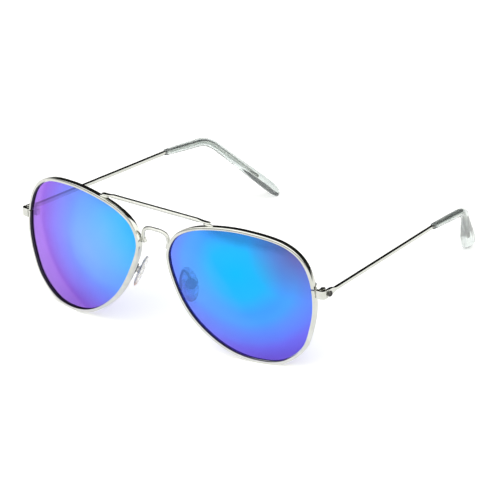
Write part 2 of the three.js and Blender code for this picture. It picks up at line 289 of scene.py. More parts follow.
def mirrored_copy(piece, name):
    """The right-hand twin of a left-hand piece, with a mesh of its own."""
    take(piece)
    bpy.ops.object.duplicate(linked=False)
    twin = bpy.context.object
    twin.name = twin.data.name = name
    twin.parent = None
    moved(twin, Matrix.Diagonal((-1, 1, 1, 1)))
    turned_out(twin)
    return twin


def both_sides(piece, name, body, materials, nodes=()):
    """Hands in the left piece and its twin. Bodies and nodes are named without their side."""
    def sided(side, words):
        return [word if word == "frame" else f"{side}_{word}" for word in words]

    left = set_down(
        piece, f"{name}_left", sided("left", [body])[0], materials, sided("left", nodes),
    )
    right = mirrored_copy(left, f"{name}_right")
    without_marks(right)
    hand_in(right, sided("right", [body])[0], sided("right", nodes))
    return left, right


# Materials

def linear(code):
    channels = [int(code[start:start + 2], 16) / 255 for start in (1, 3, 5)]
    return tuple(
        value / 12.92 if value <= 0.04045 else ((value + 0.055) / 1.055) ** 2.4
        for value in channels
    ) + (1.0,)


def add_node(tree, kind, settings=(), links=()):
    """Adds a node. A setting is a colour ramp's stops, a socket by name or number, or a
    property of the node."""
    node = tree.nodes.new(kind)
    for key, value in dict(settings).items():
        if key == "stops":
            elements = node.color_ramp.elements
            while len(elements) < len(value):
                elements.new(0.5)
            for element, (position, code) in zip(elements, value):
                element.position = position
                element.color = linear(code)
        elif isinstance(key, int) or key in node.inputs:
            node.inputs[key].default_value = value
        else:
            setattr(node, key, value)
    for key, (source, output) in dict(links).items():
        tree.links.new(source.outputs[output], node.inputs[key])
    return node


def blank_material(name):
    material = bpy.data.materials.new(name)
    material.use_nodes = True
    material.node_tree.nodes.clear()
    output = add_node(material.node_tree, "ShaderNodeOutputMaterial")
    return material, material.node_tree, output


def silver_plated_wire():
    """Copper-nickel drawn, tumbled and silver plated: almost a mirror, slightly warm, with
    faint clouding of the plating and fine polishing hairlines."""
    material, tree, output = blank_material("silver_plated_polished")
    place = add_node(tree, "ShaderNodeTexCoord")
    clouding = add_node(
        tree, "ShaderNodeTexNoise", {"Scale": 260, "Detail": 3},
        {"Vector": (place, "Object")},
    )  # clouds 4 mm across
    colour = add_node(
        tree, "ShaderNodeValToRGB", {"stops": [(0.35, "#c4c5be"), (0.65, "#cfd0ca")]},
        {"Fac": (clouding, "Fac")},
    )
    hairlines = add_node(
        tree, "ShaderNodeTexNoise", {"Scale": 2600, "Detail": 2},
        {"Vector": (place, "Object")},
    )  # 0.4 mm, coarser than real polishing marks so that they show
    roughness = add_node(
        tree, "ShaderNodeMapRange", {"To Min": 0.05, "To Max": 0.13},
        {"Value": (hairlines, "Fac")},
    )
    bump = add_node(
        tree, "ShaderNodeBump", {"Strength": 0.04, "Distance": 0.00003},
        {"Height": (hairlines, "Fac")},
    )
    metal = add_node(
        tree, "ShaderNodeBsdfPrincipled", {"Metallic": 1.0},
        {"Base Color": (colour, "Color"), "Roughness": (roughness, "Result"),
         "Normal": (bump, "Normal")},
    )
    tree.links.new(metal.outputs[0], output.inputs["Surface"])
    return material


def fine_marked_metal(name, dark, light, scale, smoothest, roughest):
    """Bare or plated metal with marks of its making, which change its colour and gloss."""
    material, tree, output = blank_material(name)
    place = add_node(tree, "ShaderNodeTexCoord")
    marks = add_node(
        tree, "ShaderNodeTexNoise", {"Scale": scale, "Detail": 2}, {"Vector": (place, "Object")},
    )
    colour = add_node(
        tree, "ShaderNodeValToRGB", {"stops": [(0.3, dark), (0.7, light)]},
        {"Fac": (marks, "Fac")},
    )
    roughness = add_node(
        tree, "ShaderNodeMapRange", {"To Min": smoothest, "To Max": roughest},
        {"Value": (marks, "Fac")},
    )
    bump = add_node(
        tree, "ShaderNodeBump", {"Strength": 0.12, "Distance": 0.00003}, {"Height": (marks, "Fac")},
    )
    metal = add_node(
        tree, "ShaderNodeBsdfPrincipled", {"Metallic": 1.0},
        {"Base Color": (colour, "Color"), "Roughness": (roughness, "Result"),
         "Normal": (bump, "Normal")},
    )
    tree.links.new(metal.outputs[0], output.inputs["Surface"])
    return material


def burnished_groove():
    """The inside wall of the eyewire: near-black painted shade, for the shade in the groove round
    the lens.
    """
    material, tree, output = blank_material("burnished_groove")
    place = add_node(tree, "ShaderNodeTexCoord")
    shade_mottle = add_node(
        tree, "ShaderNodeTexNoise", {"Scale": 900, "Detail": 3}, {"Vector": (place, "Object")},
    )  # mottling 1 mm across in the painted shade
    colour = add_node(
        tree, "ShaderNodeValToRGB", {"stops": [(0.3, "#0d0b0f"), (0.7, "#1f1a20")]},
        {"Fac": (shade_mottle, "Fac")},
    )
    roughness = add_node(
        tree, "ShaderNodeMapRange", {"To Min": 0.35, "To Max": 0.55}, {"Value": (shade_mottle, "Fac")},
    )
    dark = add_node(
        tree, "ShaderNodeBsdfPrincipled", {},
        {"Base Color": (colour, "Color"), "Roughness": (roughness, "Result")},
    )
    tree.links.new(dark.outputs[0], output.inputs["Surface"])
    return material


def lens_mirror_coat():
    """A vacuum-deposited flash mirror on tinted plastic. The film builds up most, and is blue,
    above the middle of the lens; on the right lens that blue middle is moved towards the nose,
    a painted shift of the reflection's colour with the angle of view. It turns violet where it
    thins out and where it is seen aslant, and the upper temple corner of the left lens has a
    painted dark violet reflection. A little over half of the light gets past it, and is tinted."""
    material, tree, output = blank_material("flash_mirror_coating")
    place = add_node(tree, "ShaderNodeTexCoord")
    axes = add_node(tree, "ShaderNodeSeparateXYZ", links={"Vector": (place, "Object")})
    sideways = add_node(
        tree, "ShaderNodeMath", {"operation": "ABSOLUTE"}, {0: (axes, "X")},
    )
    # Both run from -1 to 1 over the lens, from nose to temple and from bottom to top.
    across = add_node(
        tree, "ShaderNodeMapRange",
        {"clamp": False, "From Min": 0.008, "From Max": 0.064, "To Min": -1, "To Max": 1},
        {"Value": (sideways, 0)},
    )
    upwards = add_node(
        tree, "ShaderNodeMapRange",
        {"clamp": False, "From Min": 0.0012, "From Max": 0.0492, "To Min": -1, "To Max": 1},
        {"Value": (axes, "Z")},
    )
    plan = add_node(
        tree, "ShaderNodeCombineXYZ", links={"X": (across, "Result"), "Y": (upwards, "Result")},
    )
    # On the right lens (x below 0) the blue middle is moved towards the nose: a painted shift of
    # the reflection's colour with the angle of view.
    nose_shift_painted = add_node(
        tree, "ShaderNodeMapRange",
        {"From Min": -0.001, "From Max": 0.001, "To Min": -0.65, "To Max": 0.0},
        {"Value": (axes, "X")},
    )
    blue_middle = add_node(
        tree, "ShaderNodeCombineXYZ", {"Y": 0.37}, {"X": (nose_shift_painted, "Result")},
    )
    from_blue_middle = add_node(
        tree, "ShaderNodeVectorMath", {"operation": "DISTANCE"},
        {0: (plan, 0), 1: (blue_middle, 0)},
    )
    unevenness = add_node(
        tree, "ShaderNodeTexNoise", {"Scale": 60, "Detail": 1}, {"Vector": (place, "Object")},
    )  # the film is uneven over about 15 mm
    wander = add_node(
        tree, "ShaderNodeMapRange", {"To Min": -0.06, "To Max": 0.06},
        {"Value": (unevenness, "Fac")},
    )
    film = add_node(
        tree, "ShaderNodeMath", {"operation": "ADD"},
        {0: (from_blue_middle, "Value"), 1: (wander, "Result")},
    )
    scaled = add_node(
        tree, "ShaderNodeMath", {"operation": "MULTIPLY", 1: 1 / 1.45}, {0: (film, 0)},
    )
    square_on = add_node(
        tree, "ShaderNodeValToRGB",
        {"stops": [(0.0, "#18b8f5"), (0.26, "#28b4f9"), (0.44, "#459ffc"), (0.54, "#4ea0fe"),
                   (0.64, "#5f90f8"), (0.75, "#6882f5"), (0.83, "#726fec"), (0.94, "#6f60dc")]},
        {"Fac": (scaled, 0)},
    )
    aslant = add_node(
        tree, "ShaderNodeValToRGB",
        {"stops": [(0.15, "#a6b2ff"), (0.45, "#8aacff"), (0.58, "#8295fa"), (0.74, "#8984f3"),
                   (0.94, "#9466de"), (1.0, "#a676e3")]},
        {"Fac": (scaled, 0)},
    )
    angle = add_node(tree, "ShaderNodeLayerWeight", {"Blend": 0.5})
    turned = add_node(
        tree, "ShaderNodeMapRange", {"From Min": 0.2, "From Max": 0.45},
        {"Value": (angle, "Facing")},
    )
    tint_before_dark_corner = add_node(
        tree, "ShaderNodeMix", {"data_type": "RGBA"},
        {0: (turned, "Result"), 6: (square_on, "Color"), 7: (aslant, "Color")},
    )
    # The painted dark violet reflection fades out over 19 mm from the upper temple side of the left
    # lens.
    corner_plan = add_node(
        tree, "ShaderNodeCombineXYZ", links={"X": (axes, "X"), "Y": (axes, "Z")},
    )
    from_corner = add_node(
        tree, "ShaderNodeVectorMath", {"operation": "DISTANCE", 1: (0.059, 0.0452, 0)},
        {0: (corner_plan, 0)},
    )
    dark_corner_painted = add_node(
        tree, "ShaderNodeMapRange",
        {"From Min": 0.019, "From Max": 0.003, "To Min": 0.0, "To Max": 0.8},
        {"Value": (from_corner, "Value")},
    )
    tint = add_node(
        tree, "ShaderNodeMix", {"data_type": "RGBA", 7: linear("#6a5a98")},
        {0: (dark_corner_painted, "Result"), 6: (tint_before_dark_corner, 2)},
    )
    mirror = add_node(
        tree, "ShaderNodeBsdfPrincipled", {"Metallic": 1.0, "Roughness": 0.04},
        {"Base Color": (tint, 2)},
    )
    through = add_node(tree, "ShaderNodeBsdfTransparent", links={"Color": (tint, 2)})
    surface = add_node(
        tree, "ShaderNodeMixShader", {0: 0.58}, {1: (mirror, 0), 2: (through, 0)},
    )
    tree.links.new(surface.outputs[0], output.inputs["Surface"])
    return material


def lens_tint():
    """The polished back and edge of the tinted plastic: clear grey with a weak gloss."""
    material, tree, output = blank_material("tinted_lens_plastic")
    place = add_node(tree, "ShaderNodeTexCoord")
    cloud = add_node(
        tree, "ShaderNodeTexNoise", {"Scale": 80, "Detail": 1}, {"Vector": (place, "Object")},
    )  # dye clouds 12 mm across
    dye = add_node(
        tree, "ShaderNodeValToRGB", {"stops": [(0.3, "#e4e8ec"), (0.7, "#edf0f3")]},
        {"Fac": (cloud, "Fac")},
    )
    gloss = add_node(
        tree, "ShaderNodeBsdfPrincipled",
        {"Roughness": 0.06, "IOR": 1.5, "Base Color": linear("#20242a")},
    )
    through = add_node(tree, "ShaderNodeBsdfTransparent", links={"Color": (dye, "Color")})
    angle = add_node(tree, "ShaderNodeLayerWeight", {"Blend": 0.5})
    edge_on = add_node(
        tree, "ShaderNodeMapRange",
        {"From Min": 0.6, "From Max": 1.0, "To Min": 0.04, "To Max": 0.5},
        {"Value": (angle, "Facing")},
    )
    surface = add_node(
        tree, "ShaderNodeMixShader", links={0: (edge_on, "Result"), 1: (through, 0), 2: (gloss, 0)},
    )
    tree.links.new(surface.outputs[0], output.inputs["Surface"])
    return material


def moulded_silicone():
    """Clear silicone moulded round an insert: soft gloss and milky, with the lower edge
    tinted brown."""
    material, tree, output = blank_material("moulded_clear_silicone")
    place = add_node(tree, "ShaderNodeTexCoord")
    height = add_node(tree, "ShaderNodeSeparateXYZ", links={"Vector": (place, "Object")})
    brown_lower_edge = add_node(
        tree, "ShaderNodeMapRange", {"From Min": 0.0196, "From Max": 0.0166},
        {"Value": (height, "Z")},
    )  # over the lowest 3 mm of the pad
    haze = add_node(
        tree, "ShaderNodeTexNoise", {"Scale": 700, "Detail": 2}, {"Vector": (place, "Object")},
    )  # haze 1.4 mm across
    milky_colour = add_node(
        tree, "ShaderNodeValToRGB", {"stops": [(0.3, "#f4f2ee"), (0.7, "#fbfaf7")]},
        {"Fac": (haze, "Fac")},
    )
    colour = add_node(
        tree, "ShaderNodeMix", {"data_type": "RGBA", 7: linear("#c98f6c")},
        {0: (brown_lower_edge, "Result"), 6: (milky_colour, "Color")},
    )
    roughness = add_node(
        tree, "ShaderNodeMapRange", {"To Min": 0.2, "To Max": 0.34}, {"Value": (haze, "Fac")},
    )
    bump = add_node(
        tree, "ShaderNodeBump", {"Strength": 0.03, "Distance": 0.00005}, {"Height": (haze, "Fac")},
    )
    soft = add_node(
        tree, "ShaderNodeBsdfPrincipled", {"Transmission Weight": 0.45, "IOR": 1.41},
        {"Base Color": (colour, 2), "Roughness": (roughness, "Result"), "Normal": (bump, "Normal")},
    )
    tree.links.new(soft.outputs[0], output.inputs["Surface"])
    return material


def clear_tip_plastic():
    """Cellulose propionate moulded on the wire core: clear, cool grey, with flow lines."""
    material, tree, output = blank_material("moulded_clear_tip_plastic")
    place = add_node(tree, "ShaderNodeTexCoord")
    flow = add_node(
        tree, "ShaderNodeTexNoise", {"Scale": 330, "Detail": 2, "Distortion": 0.6},
        {"Vector": (place, "Object")},
    )  # flow lines 3 mm apart
    colour = add_node(
        tree, "ShaderNodeValToRGB", {"stops": [(0.3, "#d3dbd9"), (0.7, "#e9eeec")]},
        {"Fac": (flow, "Fac")},
    )
    roughness = add_node(
        tree, "ShaderNodeMapRange", {"To Min": 0.03, "To Max": 0.12}, {"Value": (flow, "Fac")},
    )
    bump = add_node(
        tree, "ShaderNodeBump", {"Strength": 0.15, "Distance": 0.0001}, {"Height": (flow, "Fac")},
    )
    clear = add_node(
        tree, "ShaderNodeBsdfPrincipled", {"Transmission Weight": 0.92, "IOR": 1.48},
        {"Base Color": (colour, "Color"), "Roughness": (roughness, "Result"),
         "Normal": (bump, "Normal")},
    )
    tree.links.new(clear.outputs[0], output.inputs["Surface"])
    return material


METAL = silver_plated_wire()
# Nickel plated steel turned on a lathe, less polished than the frame: tool marks 0.17 mm apart.
SCREW = fine_marked_metal("turned_nickel_steel", "#a9a8a3", "#cfcdc6", 6000, 0.16, 0.32)
# Pad wire drawn through a die, in a dark grey that is painted shade for where it sits behind the
# lens: marks 0.4 mm apart.
PAD_WIRE_PAINTED_DARK = fine_marked_metal("drawn_nickel_wire", "#3f4347", "#5d6266", 2600, 0.2, 0.36)
# Steel blackened in oil and rubbed bright in patches: stains 0.25 mm across.
BLACKENED = fine_marked_metal("blackened_rivet_steel", "#151516", "#6f6e6b", 4000, 0.25, 0.45)
# Near-black painted shade for the walls round the lenses.
GROOVE = burnished_groove()
MIRROR = lens_mirror_coat()
TINT = lens_tint()
SILICONE = moulded_silicone()
PLASTIC = clear_tip_plastic()


# Eyewires and lenses. They are shaped flat, then wrapped on the sphere of the lenses.

def opening_ring():
    """The lens opening as a closed flat curve."""
    return bezier(centripetal_handles(OPENING, True), closed=True)


def wrap_on_lens_sphere(piece):
    """Bends a flat piece (x towards the temple, y up, z proud of the front) to the lens."""
    for vertex in piece.data.vertices:
        across, up, proud = vertex.co
        rise = proud - (across * across + up * up) / (2 * LENS_RADIUS)
        vertex.co = (
            HALF_PITCH + across * math.cos(WRAP) + rise * math.sin(WRAP),
            across * math.sin(WRAP) - rise * math.cos(WRAP),
            up,
        )
    piece.data.update()


def eyewire_profile():
    """The eyewire's section: x outwards from the opening, y towards the front."""
    groove_front = LENS_HALF_THICKNESS - LENS_SET_BACK
    groove_back = -LENS_HALF_THICKNESS - LENS_SET_BACK
    corners = [
        (0, RIM_HALF_DEPTH), (RIM_WIDTH, RIM_HALF_DEPTH), (RIM_WIDTH, -RIM_HALF_DEPTH),
        (0, -RIM_HALF_DEPTH), (0, groove_back), (GROOVE_DEPTH, groove_back + 0.25),
        (GROOVE_DEPTH, groove_front - 0.25), (0, groove_front),
    ]
    nothing_selected()
    bpy.ops.curve.primitive_bezier_circle_add(location=(0, 0, 0))
    profile = bpy.context.object
    profile.data.splines.clear()
    outline = profile.data.splines.new("POLY")
    outline.points.add(len(corners) - 1)
    for point, (outwards, proud) in zip(outline.points, corners):
        point.co = (-outwards, proud, 0, 1)  # a curve going round leftwards has its outside at -x
    outline.use_cyclic_u = True
    return profile


def eyewire():
    """A thin grooved ring, split at its temple side."""
    curve = opening_ring()
    profile = eyewire_profile()
    curve.data.dimensions = "2D"
    curve.data.fill_mode = "NONE"
    curve.data.resolution_u = 12
    curve.data.bevel_mode = "OBJECT"
    curve.data.bevel_object = profile
    take(curve)
    bpy.ops.object.convert(target="MESH")
    rim = bpy.context.object
    bpy.data.objects.remove(profile)
    merged(rim)
    turned_out(rim)
    # The eyewire is cut through at its temple side, between the two closing blocks.
    cut(rim, block((27, SPLIT_HEIGHT - SPLIT_GAP / 2, -2), (31, SPLIT_HEIGHT + SPLIT_GAP / 2, 2)))
    rounded(rim, 0.14, 3, 40)
    wrap_on_lens_sphere(rim)
    return rim


def coated_lens():
    """A thin curved lens with a short bevel at its edge."""
    flat = opening_ring()
    flat.data.resolution_u = 10
    take(flat)
    bpy.ops.object.convert(target="MESH")
    lens = bpy.context.object
    edge_out = 1 + (GROOVE_DEPTH - 0.3) / 27
    pick(lens, "verts", lambda vert: True)
    bpy.ops.mesh.remove_doubles(threshold=MERGE_WITHIN)
    bpy.ops.transform.resize(value=(edge_out, edge_out, 1), center_override=(0, 0, 0))
    # A short bevel up to the front face, then rings in to the middle.
    steps = [(1.0, 0.1), (0.985, 0.4), (0.93, 0), (0.9, 0), (0.88, 0), (0.84, 0), (0.8, 0),
             (0.72, 0), (0.6, 0), (0.4, 0)]
    for shrink, rise in steps:
        bpy.ops.mesh.extrude_region_move(TRANSFORM_OT_translate={"value": (0, 0, rise)})
        bpy.ops.transform.resize(value=(shrink, shrink, 1), center_override=(0, 0, 0))
    bpy.ops.mesh.merge(type="CENTER")
    leave()
    apply_modifier(lens, "MIRROR", use_axis=(False, False, True), merge_threshold=0.001)
    for vertex in lens.data.vertices:
        vertex.co.z -= LENS_SET_BACK
    turned_out(lens)
    wrap_on_lens_sphere(lens)
    return lens


def painted_shade_on_inside_walls(rim, side):
    """Gives the walls round the lens, in front of and behind it, the near-black painted shade."""
    centre = Vector((side * HALF_PITCH * MM, 0, 0)) + lens_centre_plane
    for face in rim.data.polygons:
        inwards = (centre - face.center)
        inwards.y = 0
        if face.normal.dot(inwards.normalized()) > 0.6:
            face.material_index = 1


rim = eyewire()
smoothed(rim, 40)
left_rim, right_rim = both_sides(
    rim, "eyewire", "frame", [METAL, GROOVE], ["rim"],
)
lens = coated_lens()
smoothed(lens, 30)
left_lens, right_lens = both_sides(
    lens, "mirror_lens", "frame", [MIRROR, TINT], ["lens"],
)

# The walls round both lenses get the painted shade.
painted_shade_on_inside_walls(left_rim, 1)
painted_shade_on_inside_walls(right_rim, -1)
for glass in (left_lens, right_lens):
    for face in glass.data.polygons:
        if face.normal.y > -0.6:
            face.material_index = 1


# Brow bar and bridge

BAR_END = 24.4
BAR_BACK = 1.4
BAR_HEIGHT = 25.2
BAR_RADIUS = 0.8


def brow_bar():
    """A round bar whose ends are pressed flat where they are soldered to the eyewires."""
    nothing_selected()
    bpy.ops.mesh.primitive_circle_add(
        vertices=24, radius=BAR_RADIUS, fill_type="NGON",
        location=(-BAR_END, BAR_BACK, BAR_HEIGHT), rotation=(0, math.pi / 2, 0),
    )
    bar = bpy.context.object
    settle_into_mesh()
    pick(bar, "faces", lambda face: True)
    bpy.ops.transform.resize(
        value=(1, 0.75, 0.37), center_override=(-BAR_END, BAR_BACK, BAR_HEIGHT),
    )
    place = -BAR_END
    for reach, depth, height in [
        (-23.7, 1.58, 1.33), (-21.4, 1.0, 1.0), (-18.9, 0.84, 2.03), (18.9, 1.0, 1.0),
        (21.4, 1.19, 0.4926), (23.7, 1.0, 1.0), (BAR_END, 0.63, 0.75),
    ]:
        bpy.ops.mesh.extrude_region_move(
            TRANSFORM_OT_translate={"value": (reach - place, 0, 0)},
        )
        bpy.ops.transform.resize(
            value=(1, depth, height), center_override=(reach, BAR_BACK, BAR_HEIGHT),
        )
        place = reach
    leave()
    turned_out(bar)
    rounded(bar, 0.12, 3, 50)
    for side in (-1, 1):
        fused(bar, bead((side * 23.6, 1.2, 24.4), (2.2, 0.7, 0.6)))
    return bar


BRIDGE_RADIUS = 0.7


def nose_bridge():
    """An arched wire, with a bead of solder at each foot."""
    half = [
        (4.9, 0.7, 11.2), (5.6, 0.6, 13.2), (5.5, 0.55, 15.2), (4.6, 0.5, 16.5), (2.6, 0.4, 17.2),
    ]
    points = [(-x, y, z) for x, y, z in half] + [(0, 0.4, 17.3)] + half[::-1]
    arch = round_wire(points, BRIDGE_RADIUS)
    for side in (-1, 1):
        fused(arch, bead((side * 5.95, 0.7, 12.1), (0.55, 0.6, 1.4)))
    return arch


bar = brow_bar()
smoothed(bar)
set_down(bar, "brow_bar_bent", "frame", [METAL], ["brow_bar"])
bridge = nose_bridge()
smoothed(bridge)
set_down(bridge, "bridge_arch", "frame", [METAL], ["nose_bridge"])


# Nose pads and their arms. In the pad's own place z points away from the nose.

PAD_MIDDLE = Vector((10.8, 4.7, -2.9))
PAD_OUTWARDS = Vector((0.785, -0.453, 0.423)).normalized()
PAD_HALF = Vector((3.7, 6.3, 1.3))
PAD_WIRE_RADIUS = 0.45
CUP_RADIUS = 1.95
CUP_WALL = 0.45
CUP_LOW = PAD_HALF.z + 0.4
CUP_HIGH = CUP_LOW + 1.7
PAD_SCREW_HEIGHT = CUP_LOW + 0.6
CROSS_BORE = 0.55

along_pad = (Vector((0, 0, 1)) - PAD_OUTWARDS * PAD_OUTWARDS.z).normalized()
across_pad = along_pad.cross(PAD_OUTWARDS)
PAD_PLACE = Matrix.Translation(PAD_MIDDLE) @ Matrix(
    (across_pad, along_pad, PAD_OUTWARDS)
).transposed().to_4x4()
SIDEWAYS = Matrix.Rotation(math.pi / 2, 4, "Y")


def pad_arm():
    """A thin wire that loops up and over from the eyewire and ends in a round cup."""
    cup_top = PAD_PLACE @ Vector((0, CUP_RADIUS - 0.2, (CUP_LOW + CUP_HIGH) / 2))
    wire = round_wire(
        [(11.1, -0.2, -2.8), (10.5, 0.5, 0.2), (10.5, 1.5, 2.5), (11, 2.3, 3.3), (11.8, 3, 2.2),
         cup_top], PAD_WIRE_RADIUS,
    )
    cup = pin(CUP_RADIUS, CUP_LOW, CUP_HIGH, bevel=0)
    cut(cup, pin(CUP_RADIUS - CUP_WALL, CUP_LOW - 1, CUP_HIGH - CUP_WALL, bevel=0))
    hole = pin(CROSS_BORE, -3, 3, bevel=0)
    moved(hole, Matrix.Translation((0, 0, PAD_SCREW_HEIGHT)) @ SIDEWAYS)
    cut(cup, hole)
    rounded(cup, 0.12, 3, 50)
    moved(cup, PAD_PLACE)
    fused(wire, bead((11.1, -0.4, -2.8), (0.7, 0.55, 0.85)))
    fused(wire, cup)
    return wire


def nose_pad():
    """A teardrop of silicone, flatter on the nose side, on a short stem."""
    nothing_selected()
    bpy.ops.mesh.primitive_uv_sphere_add(segments=40, ring_count=20, radius=1)
    pad = bpy.context.object
    pad.scale = PAD_HALF
    settle_into_mesh()
    for vertex in pad.data.vertices:
        height = vertex.co.y / PAD_HALF.y
        vertex.co.x *= 1 - 0.16 * max(height, 0)
        if vertex.co.z < 0:
            vertex.co.z *= 0.75
        else:
            reach = math.hypot(vertex.co.x / PAD_HALF.x, height)
            vertex.co.z = PAD_HALF.z * math.sqrt(max(0, 1 - min(reach, 1) ** 3)) * 0.8
    stem = pin(1.2, 0.4, CUP_LOW + 0.95, bevel=0)
    fused(pad, stem)
    hole = pin(CROSS_BORE, -3, 3, bevel=0)
    moved(hole, Matrix.Translation((0, 0, PAD_SCREW_HEIGHT)) @ SIDEWAYS)
    cut(pad, hole)
    moved(pad, PAD_PLACE)
    return pad


def slotted_screw(shank_radius, head_radius, low, under, head_height, slot_width):
    """A cheese-head screw, upright, with its slot across x."""
    shank = pin(shank_radius, low, under + head_height / 2, bevel=0)
    head = pin(head_radius, under, under + head_height, bevel=0)
    cut(head, block(
        (-head_radius - 1, -slot_width / 2, under + head_height * 0.5),
        (head_radius + 1, slot_width / 2, under + head_height + 1),
    ))
    rounded(head, 0.07, 2, 50)
    fused(head, shank)
    return head


def pad_screw():
    """The screw through the cup and the pad's stem."""
    screw = slotted_screw(0.25, 0.55, -CUP_RADIUS, CUP_RADIUS + 0.3, 0.35, 0.18)
    moved(screw, PAD_PLACE @ Matrix.Translation((0, 0, PAD_SCREW_HEIGHT)) @ SIDEWAYS)
    return screw


arm = pad_arm()
smoothed(arm)
# The pad arms take the dark grey painted shade.
both_sides(arm, "pad_arm_and_cup", "frame", [PAD_WIRE_PAINTED_DARK], ["pad_arm"])
pad = nose_pad()
smoothed(pad, 50)
both_sides(pad, "silicone_pad", "pad", [SILICONE], ["nose_pad"])
screw = pad_screw()
smoothed(screw)
both_sides(screw, "pad_cross_screw", "frame", [SCREW], ["pad_screw"])


# Closing blocks, end pieces and hinges. Solder closes the seams between them and the eyewire.

HINGE_HALF_HEIGHT = 1.575
HINGE_ROOM_HALF = 0.725
KNUCKLE_RADIUS = 0.9
SCREW_BORE = 0.42
CLOSING_SCREW = Vector((62.95, 10.6, 0))


def from_frame(node):
    """A copy of a frame node, in millimetres round the lens centres, with its loose
    triangles merged."""
    take(frame["nodes"][node])
    bpy.ops.object.duplicate(linked=False)
    piece = bpy.context.object
    without_marks(piece)
    piece.parent = None
    moved(piece, (Matrix.Translation(lens_centre_plane) @ Matrix.Scale(MM, 4)).inverted())
    pick(piece, "verts", lambda vert: True)
    bpy.ops.mesh.remove_doubles(threshold=0.002)
    bpy.ops.mesh.dissolve_limited(angle_limit=math.radians(1))
    leave()
    return piece


def bored(piece, middle, low, high):
    hole = pin(SCREW_BORE, low - 1, high + 1, bevel=0)
    cut(piece, moved(hole, Matrix.Translation((middle.x, middle.y, 0))))


def closing_block(low, high):
    """One half of the barrel that closes the eyewire on the lens, soldered to its back."""
    piece = block((62.2, 9.4, low), (63.7, 11.35, high))
    bored(piece, CLOSING_SCREW, low, high)
    rounded(piece, 0.12)
    return piece


def end_plate():
    """The bent plate out to the temple, soldered to the eyewire and to the hinge leaf."""
    plate = from_frame("left_end_piece")
    fused(plate, block((64.5, 8.6, HINGE.z - 1.48), (66.85, 9.9, HINGE.z + 1.48)))
    rounded(plate, 0.15)
    return plate


def hinge_knuckles():
    """The frame's two knuckles, with room between them for the temple's."""
    low, high = HINGE.z - HINGE_HALF_HEIGHT, HINGE.z + HINGE_HALF_HEIGHT
    knuckles = moved(
        pin(KNUCKLE_RADIUS, low, high, bevel=0), Matrix.Translation((HINGE.x, HINGE.y, 0)),
    )
    fused(knuckles, block((65.6, 10.1, low), (66.8, 11.5, high)))
    fused(knuckles, block((65.5, 9.7, low - 0.01), (66.9, 10.3, high + 0.01)))
    room = pin(1.2, HINGE.z - HINGE_ROOM_HALF, HINGE.z + HINGE_ROOM_HALF, bevel=0)
    cut(knuckles, moved(room, Matrix.Translation((HINGE.x, HINGE.y, 0))))
    bored(knuckles, HINGE, low, high)
    rounded(knuckles, 0.06, 2)
    return knuckles


def hinge_tongue():
    """The temple's knuckle and its tongue, soldered to the inside of the flare."""
    tongue = from_frame("left_hinge_leaf_temple")
    fused(tongue, block((66.5, 13.2, HINGE.z - 0.4), (67.6, 15.2, HINGE.z + 0.4)))
    rounded(tongue, 0.06, 2)
    return tongue


for piece, name, body, node in (
    (closing_block(SPLIT_HEIGHT + 0.25, SPLIT_HEIGHT + 1.25), "closing_block_top", "frame",
     "closing_block_upper"),
    (closing_block(SPLIT_HEIGHT - 2.25, SPLIT_HEIGHT - 0.25), "closing_block_under", "frame",
     "closing_block_lower"),
    (end_plate(), "end_plate", "frame", "end_piece"),
    (hinge_knuckles(), "hinge_knuckles", "frame", "hinge_leaf_frame"),
    (hinge_tongue(), "hinge_tongue", "temple", "hinge_leaf_temple"),
):
    smoothed(piece)
    both_sides(piece, name, body, [METAL], [node])

closing = slotted_screw(0.35, 0.6, SPLIT_HEIGHT - 2.25, SPLIT_HEIGHT + 1.55, 0.25, 0.2)
moved(closing, Matrix.Translation(CLOSING_SCREW))
smoothed(closing)
both_sides(closing, "closing_screw_slotted", "frame", [SCREW], ["closing_screw"])
# The hinge screw is made standing up, then turned over, as it goes in from below.
pivot = slotted_screw(0.35, 0.85, -HINGE_HALF_HEIGHT, HINGE_HALF_HEIGHT + 0.3, 0.4, 0.25)
moved(pivot, Matrix.Translation(HINGE) @ Matrix.Rotation(math.pi, 4, "X"))
smoothed(pivot)
both_sides(pivot, "hinge_screw_slotted", "frame", [SCREW], ["hinge_screw"])


# Temples

FLARE_START = Vector((68.1, 10.65, 5.1))
SLEEVE_START = Vector((61.2, 82.1, 3.3))
BEND_CORNER = Vector((58.7, 103.7, 1.1))
TIP_END = Vector((43.7, 125.5, -24.55))
BEND_REACH = 5
CORE_LENGTH = 47
CORE_RADIUS = 0.6
RIVET_BACK = 1.2
PADDLE_ROLL = math.radians(-27)


def tip_path():
    """The line of the tip: straight, round the bend behind the ear, and straight again."""
    before = BEND_CORNER.lerp(SLEEVE_START, BEND_REACH / (BEND_CORNER - SLEEVE_START).length)
    after = BEND_CORNER.lerp(TIP_END, BEND_REACH / (BEND_CORNER - TIP_END).length)
    return [
        (SLEEVE_START, SLEEVE_START, SLEEVE_START.lerp(before, 1 / 3)),
        (before.lerp(SLEEVE_START, 1 / 3), before, before.lerp(BEND_CORNER, 2 / 3)),
        (after.lerp(BEND_CORNER, 2 / 3), after, after.lerp(TIP_END, 1 / 3)),
        (TIP_END.lerp(after, 1 / 3), TIP_END, TIP_END),
    ]


def tip_length():
    knots = tip_path()
    length = 0
    for here, there in zip(knots, knots[1:]):
        steps = interpolate_bezier(here[1], here[2], there[0], there[1], 64)
        length += sum((b - a).length for a, b in zip(steps, steps[1:]))
    return length


def bent_round_ear(piece):
    """Bends a straight piece that lies along +y from the origin to the tip's line."""
    guide = bezier(tip_path())
    guide.data.resolution_u = 32
    guide.data.twist_mode = "Z_UP"
    take(piece)
    bend = piece.modifiers.new("Curve", "CURVE")
    bend.object = guide
    bend.deform_axis = "POS_Y"
    bpy.ops.object.modifier_apply(modifier=bend.name)
    bpy.data.objects.remove(guide)
    return piece


